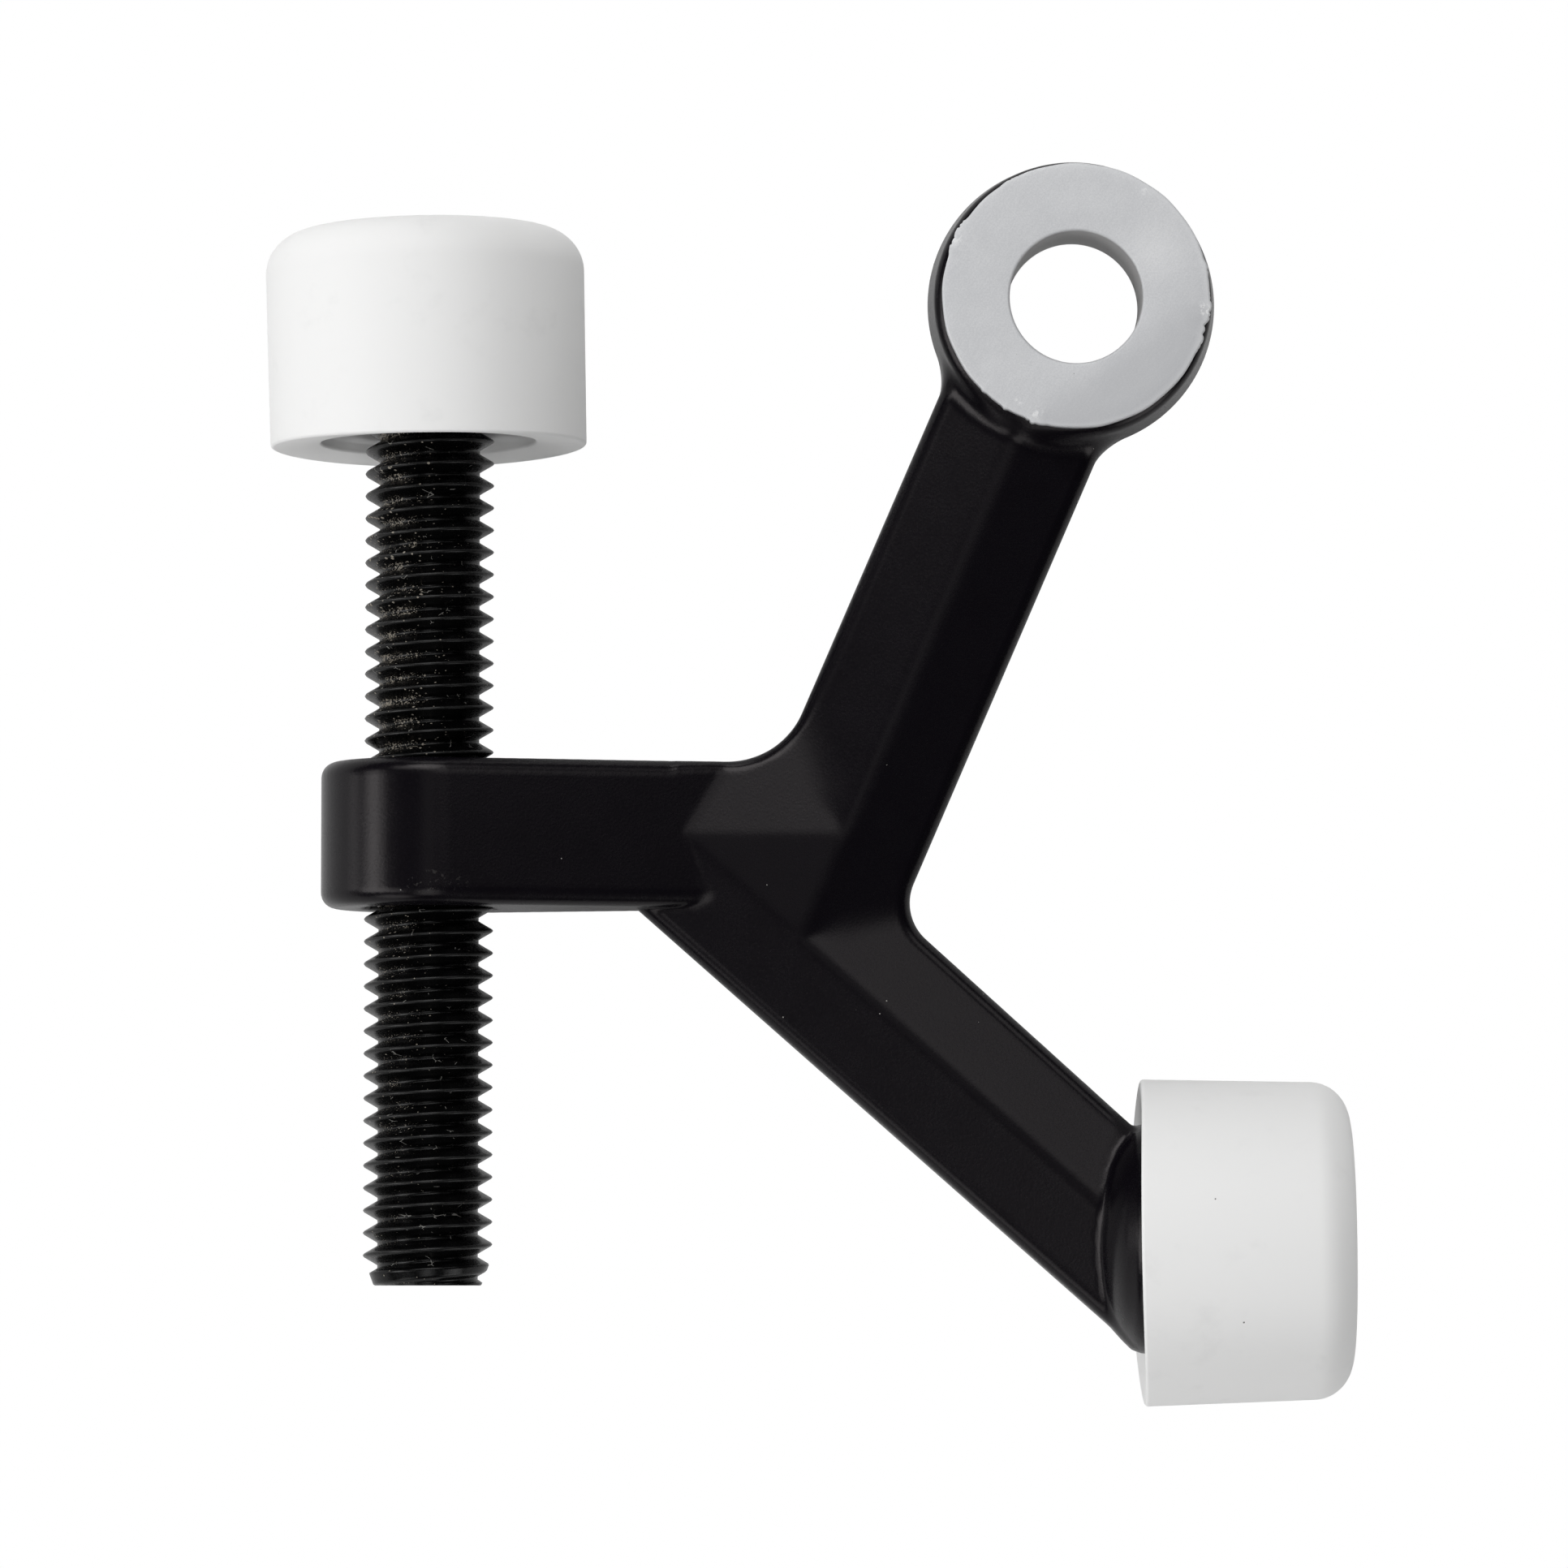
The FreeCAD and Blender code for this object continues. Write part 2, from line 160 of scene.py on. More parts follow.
class Finish(Maker):                # a material with one Principled shader
    def __init__(self, name, constants):
        self.material = bpy.data.materials.new(name)
        self.material.use_nodes = True
        super().__init__(self.material.node_tree)
        self.shader = self.tree.nodes["Principled BSDF"]
        for name, value in constants.items():
            self.feed(self.shader.inputs[name], value)
        self.place = self.add("ShaderNodeTexCoord", out="Object")

    def noise(self, size, detail, roughness=0.5, where=None):   # sizes are in mm
        return self.add("ShaderNodeTexNoise", None, {
            "Vector": where or self.place, "Scale": 1 / (size * mm), "Detail": detail,
            "Roughness": roughness})

    def grains(self, size, feature="F1"):       # distance to scattered points, as a share of size
        return self.add("ShaderNodeTexVoronoi", {"feature": feature}, {
            "Vector": self.place, "Scale": 1 / (size * mm)})

    def patches(self, size, level):             # where a slow noise rises over the level
        return self.noise(size, 1) > level

    def specks(self, size, reach, patchSize, patchLevel):       # grains, in some patches only
        return (self.grains(size) < reach) * self.patches(patchSize, patchLevel)

    def axes(self):                 # object coordinates in mm
        split = self.add("ShaderNodeSeparateXYZ", None, {0: self.place}, ("X", "Y", "Z"))
        return [port / mm for port in split]

    def away(self, x, y, squash=1.0):           # distance in mm from a point seen from the front
        across, up, _ = self.axes()
        dx = across - x
        dy = (up - y) * squash
        return (dx * dx + dy * dy).root()

    def bump(self, height, strength, distance, below=None):
        given = {"Height": height, "Strength": strength, "Distance": distance * mm}
        if below:
            given["Normal"] = below
        return self.add("ShaderNodeBump", None, given)

    def wear(self, **given):
        names = {"colour": "Base Color", "roughness": "Roughness", "normal": "Normal"}
        for name, value in given.items():
            self.feed(self.shader.inputs[names[name]], value)
        return self.material


def addMesh(name, points, faces, material, smooth=True):
    mesh = bpy.data.meshes.new(name)
    mesh.from_pydata([tuple(p) for p in points], [], [tuple(f) for f in faces])
    mesh.polygons.foreach_set("use_smooth", [smooth] * len(mesh.polygons))
    mesh.materials.append(material)
    mesh.update()
    piece = bpy.data.objects.new(name, mesh)
    bpy.context.scene.collection.objects.link(piece)
    return piece


def finishPiece(piece, body, slot, *nodes):
    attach(piece, body)
    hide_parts(*nodes)
    print(piece.name, "has", len(piece.data.polygons), "faces")


# Casting: satin black coat, with sparse specks and light scuffs on the boss
castingCoat = {
    "colour": (0.0027, 0.0022, 0.0034),
    "paler": 1.25,                  # the coat's palest waves, against its colour
    "specular": 0.18,
    "tint": (1.0, 0.94, 0.94),
    "roughness": 0.26,
    "grain": 0.16,
    "grainDepth": 0.005,
    "waviness": 2.5,
    "specks": (1.1, 0.035, 7.0, 0.52),      # size, reach, and their patches' size and level
    "speckColour": (0.35, 0.34, 0.32),
    "scuffPlace": (-39.0, -36.4, 1.6),      # x, y and how flat the scuffed spot is
    "scuffReach": (2.6, 0.8),
    "scuffSize": 0.35,
    "scuffLevel": 0.62,
    "scuffShare": 0.5,
    "scuffColour": (0.05, 0.048, 0.046),
}


def blackCastingFinish(coat):
    m = Finish("blackCasting", {
        "Specular IOR Level": coat["specular"], "Specular Tint": coat["tint"]})
    grain = m.noise(coat["grain"], 2)
    broad = m.noise(coat["waviness"], 3)
    speck = m.specks(*coat["specks"])
    scuffed = m.fade(m.away(*coat["scuffPlace"]), *coat["scuffReach"])
    scuffs = (m.noise(coat["scuffSize"], 4, 0.7) > coat["scuffLevel"]) * scuffed
    colour = m.mix(broad, coat["colour"], tuple(v * coat["paler"] for v in coat["colour"]))
    colour = m.mix(scuffs * coat["scuffShare"], colour, coat["scuffColour"])
    colour = m.mix(speck, colour, coat["speckColour"])
    rough = coat["roughness"] + (grain - 0.5) * 0.10 + (broad - 0.5) * 0.05 + speck * 0.3
    shape = m.bump(grain, 1.0, coat["grainDepth"])
    return m.wear(colour=colour, roughness=rough, normal=shape)


# Casting: its smooth die-cast form is a distance field, meshed and then drawn onto the exact surface
castingForm = {
    "cell": 0.25,
    "margin": 1.0,
    "eyeX": -0.03,
    "eyeY": -0.11,
    "eyeRadius": 8.88,
    "eyeDraft": 0.12,
    "eyeHalfDepth": 3.5,
    "eyeEdge": 0.75,
    "eyeRoot": 1.15,
    "eyeBore": 5.2,
    "ridgeHeight": 2.9,
    "armSlope": 0.22,
    "hubSlope": 0.15,
    "upperAngle": 23.15,
    "upperEdge": (5.70, 23.33),         # reach from the ridge, and lean
    "lowerAngle": 41.6,
    "lowerAbove": (6.695, 42.18),
    "lowerBelow": (6.76, 41.42),
    "innerCorner": 5.0,
    "outerCorner": 3.0,
    "blockLeft": -24.5,                 # where the arms' outline ends inside the boss, the eye
    "blockLow": 1.0,                    # and the foot
    "upperEnd": -2.0,
    "armEnd": 3.6,
    "armEdge": 0.85,
    "hubEdge": 0.65,
    "innerY": -28.7,                    # the inner corner, where the edge is tighter
    "edgeFade": (3.5, 8.0),
    "ridgeBlend": 0.27,
    "flatBlend": 0.1,
    "ridgeFade": 1.0,
    "hubBlend": 0.045,
    "crease": 0.002,
    "leftValley": 0.265,
    "rightValley": 0.32,
    "valleyFade": 3.0,
    "taperBlend": 0.1,
    "lowValley": 0.15,
    "lowFade": (1.8, 3.8),
    "screwX": -39.64,
    "bossY": -33.1,
    "bossRadius": 6.62,
    "bossTop": 4.6,
    "bossLow": 4.37,
    "bossTaper": 14.0,
    "bossEdge": 0.95,
    "screwBore": 4.05,
    "boreEdge": 0.25,
    "footX": 3.8,
    "footY": -57.74,
    "neckRadius": 7.03,
    "neckEdge": 0.35,
    "shoulder": ((1.75, 3.0), (2.22, 5.25), (3.85, 7.03)),      # distance along the foot, radius
    "shoulderEdge": 0.6,
    "footRoot": 0.45,
    "headStart": 5.8,
    "headEnd": 13.0,
    "headRadius": 7.8,
}


def blendMax(a, b, width):          # both, with a soft outward edge
    gap = np.maximum(width - np.abs(a - b), 0)
    return np.maximum(a, b) + gap * gap / (4 * width)


def blendMin(a, b, width):          # either, with a soft valley
    return -blendMax(-a, -b, width)


def roundMax(a, b, radius):         # both, with a true radius on the edge
    far = np.minimum(np.maximum(a, b), -radius)
    return far + np.hypot(np.maximum(a + radius, 0), np.maximum(b + radius, 0))


def roundMin(a, b, radius):         # either, with a true radius in the corner
    return -roundMax(-a, -b, radius)


def softStep(value, low, high):
    share = np.clip((value - low) / (high - low), 0, 1)
    return share * share * (3 - 2 * share)


def roundedOutline(corners, arcSteps=20):       # corners are ((x, y), radius)
    points = []
    count = len(corners)
    for i, (corner, radius) in enumerate(corners):
        if not radius:
            points.append(corner)
            continue
        here = Vector(corner)
        before = (Vector(corners[i - 1][0]) - here).normalized()
        after = (Vector(corners[(i + 1) % count][0]) - here).normalized()
        half = before.angle(after) / 2
        centre = here + (before + after).normalized() * (radius / math.sin(half))
        start = here + before * (radius / math.tan(half)) - centre
        end = here + after * (radius / math.tan(half)) - centre
        sweep = start.angle_signed(end)
        for step in range(arcSteps + 1):
            turned = start.copy()
            turned.rotate(Matrix.Rotation(-sweep * step / arcSteps, 2))
            points.append(tuple(centre + turned))
    return np.array(points)


def outlineDistance(outline, x, y):     # below zero inside
    nearest = np.full(x.shape, np.inf)
    inside = np.zeros(x.shape, bool)
    for (ax, ay), (bx, by) in zip(outline, np.roll(outline, -1, axis=0)):
        ex, ey = bx - ax, by - ay
        share = np.clip(((x - ax) * ex + (y - ay) * ey) / (ex * ex + ey * ey), 0, 1)
        nearest = np.minimum(nearest, (x - ax - share * ex) ** 2 + (y - ay - share * ey) ** 2)
        crosses = (ay > y) != (by > y)
        if ay != by:
            inside ^= crosses & (x < ax + (y - ay) * ex / ey)
    return np.where(inside, -1, 1) * np.sqrt(nearest)


class CastingShape:
    def __init__(self, form):
        self.form = form
        self.upper = math.radians(form["upperAngle"])
        self.lower = math.radians(form["lowerAngle"])
        self.outline = roundedOutline(self.armCorners())
        self.hubLow = self.crossing(0, 0)

    def upperX(self, side, y):          # line of the upper arm: -1 left, 0 ridge, 1 right
        reach, lean = self.form["upperEdge"] if side else (0, self.form["upperAngle"])
        return side * reach + y * math.tan(math.radians(lean))

    def lowerY(self, side, x):          # line of the lower arm: -1 below, 0 ridge, 1 above
        form = self.form
        lines = (0, form["lowerAngle"]), form["lowerAbove"], form["lowerBelow"]
        rise, lean = lines[side]
        return form["footY"] + side * rise + (form["footX"] - x) * math.tan(math.radians(lean))

    def crossing(self, upperSide, lowerSide):       # of a line of each arm
        start = self.upperX(upperSide, 0)
        across = self.upperX(upperSide, 1) - start
        fall = self.lowerY(lowerSide, 0) - self.lowerY(lowerSide, 1)
        y = self.lowerY(lowerSide, start) / (1 + across * fall)
        return self.upperX(upperSide, y), y

    def armCorners(self):
        form = self.form
        top = form["bossY"] + form["bossTop"]
        low = form["bossY"] + form["blockLow"]
        upperEnd, footEnd = form["upperEnd"], form["armEnd"]
        fall = self.lowerY(-1, 0) - self.lowerY(-1, 1)
        lowLeft = form["footX"] - (low - self.lowerY(-1, form["footX"])) / fall
        return [
            ((form["blockLeft"], top), 0),
            ((self.upperX(-1, top), top), form["innerCorner"]),
            ((self.upperX(-1, upperEnd), upperEnd), 0),
            ((self.upperX(1, upperEnd), upperEnd), 0),
            (self.crossing(1, 1), form["outerCorner"]),
            ((footEnd, self.lowerY(1, footEnd)), 0),
            ((footEnd, self.lowerY(-1, footEnd)), 0),
            ((lowLeft, low), 0),
        ]

    def roof(self, x, y, z):            # the facets on the three arms, two beside each ridge
        form = self.form
        ridge, slope, hubSlope = form["ridgeHeight"], form["armSlope"], form["hubSlope"]
        upper = x * math.cos(self.upper) - y * math.sin(self.upper)
        fromX, fromY = x - form["footX"], y - form["footY"]
        lower = -fromX * math.sin(self.lower) - fromY * math.cos(self.lower)
        hub = y - form["bossY"]
        steep, shallow = math.hypot(1, slope), math.hypot(1, hubSlope)
        lowX = self.hubLow[0]
        upperLeft = (z - ridge - slope * upper) / steep
        upperRight = (z - ridge + slope * upper) / steep
        lowerLeft = (z - ridge + slope * lower) / steep
        lowerRight = (z - ridge - slope * lower) / steep
        hubTop = blendMax(z - ridge, (z - ridge + hubSlope * hub) / shallow, form["hubBlend"])
        aboveHub = softStep(hub, 0, form["valleyFade"])
        left = blendMin(upperLeft, hubTop, form["crease"] + form["leftValley"] * aboveHub)
        pastHub = softStep(x, lowX, lowX + form["valleyFade"])
        right = blendMin(upperRight, lowerRight, form["crease"] + form["rightValley"] * pastHub)
        flat, fade = form["flatBlend"], form["ridgeFade"]
        more = form["ridgeBlend"] - flat
        top = blendMax(left, right, flat + more * softStep(hub, -fade, fade))
        return blendMax(top, lowerLeft, flat + more * softStep(x, lowX - fade, lowX + fade))

    def bossProfile(self, x, z):        # round at the left, and tapered towards the arms
        form = self.form
        lean = math.radians(form["bossTaper"])
        dx = x - form["screwX"]
        face = dx * math.sin(lean) + z * math.cos(lean)
        along = dx * math.cos(lean) - z * math.sin(lean)
        return np.where(along > 0, face, np.hypot(dx, z)) - form["bossRadius"]

    def foot(self, x, y, z):            # shoulder, neck and the head that the rubber tip holds
        form = self.form
        radius = np.hypot(y - form["footY"], z)
        cones = []
        for (x0, r0), (x1, r1) in zip(form["shoulder"], form["shoulder"][1:]):
            run, rise = x1 - x0, r1 - r0
            cones.append(((radius - r0) * run - (x - x0) * rise) / math.hypot(run, rise))
        shoulder = roundMax(*cones, form["shoulderEdge"])
        neck = roundMax(shoulder, radius - form["neckRadius"], form["neckEdge"])
        head = np.maximum(radius - form["headRadius"], form["headStart"] - x)
        return np.maximum(np.minimum(neck, head), x - form["headEnd"])

    def distance(self, x, y, z, wall):      # wall is the distance to the arms' outline
        form = self.form
        z = np.abs(z)
        above = y - form["bossY"] - form["bossTop"]
        below = form["bossY"] - form["bossLow"] - y
        profile = self.bossProfile(x, z)
        boss = roundMax(profile, np.maximum(above, below), form["bossEdge"])
        face = roundMax(profile, below, form["bossEdge"])
        lowDown = softStep(form["bossY"] - y, *form["lowFade"])
        front = blendMin(self.roof(x, y, z), face, form["taperBlend"] + form["lowValley"] * lowDown)
        fromInner = np.hypot(x - self.upperX(-1, form["innerY"]), y - form["innerY"])
        more = form["armEdge"] - form["hubEdge"]
        edge = form["hubEdge"] + more * softStep(fromInner, *form["edgeFade"])
        arms = np.minimum(roundMax(front, wall, edge), boss)
        draft = form["eyeDraft"]
        reach = form["eyeRadius"] - draft * z
        drum = (np.hypot(x - form["eyeX"], y - form["eyeY"]) - reach) / math.hypot(1, draft)
        joined = roundMin(arms, drum, form["eyeRoot"])
        eye = roundMax(joined, z - form["eyeHalfDepth"], form["eyeEdge"])
        solid = np.minimum(arms, eye)
        solid = roundMin(solid, self.foot(x, y, z), form["footRoot"])
        solid = roundMax(solid, form["eyeBore"] - np.hypot(x, y), form["boreEdge"])
        screwBore = form["screwBore"] - np.hypot(x - form["screwX"], z)
        return roundMax(solid, screwBore, form["boreEdge"])

    def at(self, points):
        x, y, z = points.T
        return self.distance(x, y, z, outlineDistance(self.outline, x, y))


def surfaceNet(field, low, cell):
    # one point in each cell that the surface crosses, and one face round each edge that it crosses
    shape = field.shape
    steps = np.array([shape[1] * shape[2], shape[2], 1])
    inside = field < 0
    cells, crossings, outward = [], [], []
    for axis in range(3):
        near = [slice(None)] * 3
        far = [slice(None)] * 3
        near[axis], far[axis] = slice(0, -1), slice(1, None)
        a, b = inside[tuple(near)], inside[tuple(far)]
        where = np.argwhere(a != b)
        start = field[tuple(where.T)]
        ahead = where.copy()
        ahead[:, axis] += 1
        share = start / (start - field[tuple(ahead.T)])
        point = where.astype(float)
        point[:, axis] += share
        second, third = steps[(axis + 1) % 3], steps[(axis + 2) % 3]
        here = where @ steps
        cells.append(np.stack([here, here - second, here - second - third, here - third], 1))
        crossings.append(point)
        outward.append(start < 0)
    cells = np.concatenate(cells)
    crossings = np.concatenate(crossings)
    outward = np.concatenate(outward)
    faces = np.unique(cells, return_inverse=True)[1].reshape(cells.shape)
    corners = faces.ravel()
    counts = np.bincount(corners)
    points = np.stack([
        np.bincount(corners, np.repeat(crossings[:, axis], 4)) / counts for axis in range(3)], 1)
    faces = np.where(outward[:, None], faces, faces[:, ::-1])
    return points * cell + low, faces


def drawnOnto(shape, points, rounds=3, step=0.004, leastSlope=0.3, reach=0.1):
    for _ in range(rounds):
        value = shape.at(points)
        slope = np.stack([
            (shape.at(points + np.eye(3)[axis] * step) - value) / step for axis in range(3)], 1)
        size = np.maximum((slope * slope).sum(1), leastSlope)
        move = -slope * (value / size)[:, None]
        points = points + np.clip(move, -reach, reach)
    return points


def buildCasting(form, material):
    shape = CastingShape(form)
    low, high = [np.array(corner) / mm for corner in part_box("casting")]
    low, high = low - form["margin"], high + form["margin"]
    x, y, z = [np.arange(a, b, form["cell"]) for a, b in zip(low, high)]
    flatX, flatY = np.meshgrid(x, y, indexing="ij")
    wall = outlineDistance(shape.outline, flatX, flatY)[:, :, None]
    field = shape.distance(flatX[:, :, None], flatY[:, :, None], z[None, None, :], wall)
    points, faces = surfaceNet(field, low, form["cell"])
    points = drawnOnto(shape, points)
    return addMesh("casting_skin", points * mm, faces, material)


casting = buildCasting(castingForm, blackCastingFinish(castingCoat))
finishPiece(casting, "bracket", "black_casting", "casting")


# Lathe work for the tips and the bushing: a closed profile of (radius, height) turned about its axis
def arcPoints(centre, radius, start, end, steps):
    angles = [math.radians(start + (end - start) * i / steps) for i in range(steps + 1)]
    return [(centre[0] + radius * math.cos(a), centre[1] + radius * math.sin(a)) for a in angles]


def turned(name, profile, material, place, around, ripple):     # ripple moves each point a little
    count = len(profile)
    points = []
    for turn in range(around):
        angle = 2 * math.pi * turn / around
        for radius, height in profile:
            radius, height = ripple(angle, radius, height)
            across, deep = radius * math.cos(angle), radius * math.sin(angle)
            points.append(place @ Vector((across, deep, height)))
    faces = []
    for turn in range(around):
        here, there = turn * count, (turn + 1) % around * count
        for i in range(count):
            j = (i + 1) % count
            if profile[i][0] == 0 and profile[j][0] == 0:
                continue
            faces.append((here + i, there + i, there + j, here + j))
    piece = addMesh(name, [p * mm for p in points], faces, material)
    tidyMesh(piece.data)
    return piece


def tidyMesh(mesh):
    work = bmesh.new()
    work.from_mesh(mesh)
    bmesh.ops.remove_doubles(work, verts=work.verts, dist=1e-7)
    bmesh.ops.dissolve_degenerate(work, edges=work.edges, dist=1e-8)
    bmesh.ops.recalc_face_normals(work, faces=work.faces)
    work.to_mesh(mesh)
    work.free()


# White rubber tips, with dished rims that aren't quite flat
tipForm = {
    "around": 160,
    "rimRound": 0.2,
    "rimTurn": -95,
    "rimSteps": 6,
    "cornerSteps": 18,
    "dish": 0.32,
    "ledge": 0.95,
}
screwTip = {
    "x": -39.72, "y": -9.1, "lean": 1.35, "turn": 0.0, "length": 13.55,
    "rimRadius": 9.75, "endRadius": 9.85, "corner": 2.65, "mouth": 6.6, "throat": 4.6,
    "hollow": 7.7, "hollowStart": 2.25, "hollowEnd": 7.65,
    "rimLift": 0.2, "endLift": 0.0, "rimTilt": -0.095, "rimTwist": 0.0,
}
footTip = {
    "x": 3.82, "y": -57.99, "lean": 0.7, "turn": -90.0, "length": 12.98,
    "rimRadius": 10.02, "endRadius": 9.67, "corner": 2.5, "mouth": 7.03, "throat": 7.03,
    "hollow": 7.8, "hollowStart": 2.0, "hollowEnd": 9.2,
    "rimLift": 0.4, "endLift": 0.25, "rimTilt": 0.0, "rimTwist": 0.195,
}
rubber = {
    "colour": (0.83, 0.83, 0.825),
    "smudgeColour": (0.62, 0.62, 0.62),
    "smudgeSize": 3.2,
    "smudgeMost": 0.22,
    "specks": (1.6, 0.04, 5.0, 0.60),       # size, reach, and their patches' size and level
    "speckColour": (0.03, 0.028, 0.025),
    "speckShare": 0.85,
    "specular": 0.35,
    "roughness": 0.55,
    "grain": 0.12,
    "grainDepth": 0.003,
}


def whiteRubberFinish(coat):
    m = Finish("whiteRubber", {"Specular IOR Level": coat["specular"]})
    grain = m.noise(coat["grain"], 3)
    smudge = m.fade(m.noise(coat["smudgeSize"], 4, 0.6), 0.56, 0.80, 0.0, coat["smudgeMost"])
    colour = m.mix(smudge, coat["colour"], coat["smudgeColour"])
    colour = m.mix(m.specks(*coat["specks"]) * coat["speckShare"], colour, coat["speckColour"])
    rough = coat["roughness"] + (grain - 0.5) * 0.12
    return m.wear(colour=colour, roughness=rough, normal=m.bump(grain, 0.6, coat["grainDepth"]))


def tipPlace(tip):                  # the tip's own axis points from its rim to its closed end
    upright = Matrix.Rotation(math.radians(-90), 4, "X")
    swing = Matrix.Rotation(math.radians(tip["lean"] + tip["turn"]), 4, "Z")
    return Matrix.Translation((tip["x"], tip["y"], 0)) @ swing @ upright


def buildTip(name, tip, form, material):
    def bowed(angle, radius, height):
        reach = radius / tip["rimRadius"]
        nearEnd = height / tip["length"]
        across, deep = reach * math.cos(angle), reach * math.sin(angle)
        lift = tip["rimLift"] + (tip["endLift"] - tip["rimLift"]) * nearEnd
        slant = tip["rimTilt"] * across + tip["rimTwist"] * deep
        return radius, height + lift * across * across + slant * (1 - nearEnd)

    length, corner, wallAt = tip["length"], tip["corner"], tip["rimRadius"]
    rim, rimTurn, dish, rimSteps = form["rimRound"], form["rimTurn"], form["dish"], form["rimSteps"]
    side = math.degrees(math.atan2(length, tip["endRadius"] - wallAt)) - 90
    taper = (tip["endRadius"] - wallAt) / length
    cornerX = wallAt + taper * (length - corner) - corner / math.cos(math.radians(side))
    profile = [(0, length)]
    profile += arcPoints((cornerX, length - corner), corner, 90, side, form["cornerSteps"])
    profile += arcPoints((wallAt + taper * rim - rim, rim), rim, side, rimTurn, rimSteps)
    profile += arcPoints((tip["mouth"] + rim, dish + rim), rim, rimTurn, -180, rimSteps)
    if tip["throat"] < tip["mouth"]:
        profile += [(tip["mouth"], form["ledge"]), (tip["throat"], form["ledge"])]
    profile += [(tip["throat"], tip["hollowStart"]), (tip["hollow"], tip["hollowStart"])]
    profile += [(tip["hollow"], tip["hollowEnd"]), (0, tip["hollowEnd"])]
    return turned(name, profile[::-1], material, tipPlace(tip), form["around"], bowed)


whiteRubber = whiteRubberFinish(rubber)
screwCap = buildTip("screw_tip_skin", screwTip, tipForm, whiteRubber)
finishPiece(screwCap, "tip_carrier", "white_rubber", "screw_tip")
footCap = buildTip("foot_tip_skin", footTip, tipForm, whiteRubber)
finishPiece(footCap, "bracket", "white_rubber", "foot_tip")


# Nylon bushing, with the torn flash left round its flange
bushingForm = {
    "bore": 4.08,
    "boreShift": (0.11, -0.09),
    "sleeveRadius": 5.2,
    "back": -1.8,
    "face": 3.5,
    "flangeRadius": 8.18,
    "flangeShift": (0.09, 0.015),
    "flangeRows": (7.0, 5.5),
    "front": 4.3,
    "edge": 0.15,
    "boreEdge": 0.2,
    "boreBand": 0.5,                    # how far from the bore and the rim the ripple reaches
    "rimBand": 0.4,
    "around": 360,
    "flash": (                          # degrees, half width, reach and lift
        (150, 7, 0.30, 0.15), (158, 4, 0.22, 0.3), (251, 3, 0.25, 0.0), (354, 8, 0.28, 0.2),
        (340, 5, 0.16, 0.1), (226, 2, 0.12, 0.1), (12, 4, 0.14, 0.1), (120, 5, 0.12, 0.1),
        (254, 4, 0.20, 0.2), (238, 2, 0.16, 0.1), (347, 2, -0.25, 0.0), (343, 2, -0.2, 0.0)),
    "flashLift": 0.4,
    "waves": ((0.02, 2, 1), (0.015, 17, 0)),        # height, count and start
}
nylon = {
    "colour": (0.525, 0.532, 0.548),
    "shadedColour": (0.385, 0.39, 0.405),
    # pale colour of the random mottle and of the rubbed rim, and also of a painted pool of light on
    # the flange
    "rubbedAndLitColour": (0.66, 0.665, 0.675),
    # painted shade that darkens the wall of the hole
    "wallShadeColour": (0.34, 0.335, 0.335),
    "crumbColour": (0.85, 0.85, 0.85),
    "dirtColour": (0.05, 0.05, 0.05),
    "specular": 0.5,
    "roughness": 0.42,
    "grain": 0.10,
    "grainDepth": 0.006,
    "cloudSize": 2.6,
    "cloudDepth": 0.02,
    "streakSize": 0.13,
    "streakLean": 55.0,
    "streakLength": 9,                  # against their width
    "fineSize": 0.11,
    "cloudShare": 0.7,
    "streakShare": 0.6,
    "fineShare": 1.6,
    "litPlace": (4.9, 2.9),
    "litReach": (2.8, 0.4),
    "litShare": 0.5,
    "shadedFrom": (3.0, 6.0),
    "shadedShare": 0.5,
    "rimFrom": (7.75, 8.2),             # radii where the rubbed rim fades in
    "rimShare": 0.4,
    "wallFrom": (4.5, 4.2),             # radii and heights where the wall of the hole starts
    "wallBelow": (4.3, 4.0),
    "wallSpecks": (0.45, 0.1),          # size and reach
    "faceSpecks": (1.9, 0.025),
    "speckShare": 0.8,
    "crumbSize": 0.3,
    "crumbShare": 0.55,
    "tears": (                          # x, y and reach
        (-7.4, 3.6, 0.8), (-2.4, -7.2, 0.6), (8.0, -0.9, 0.7), (4.4, 6.4, 0.4), (-3.5, -6.6, 0.35)),
}


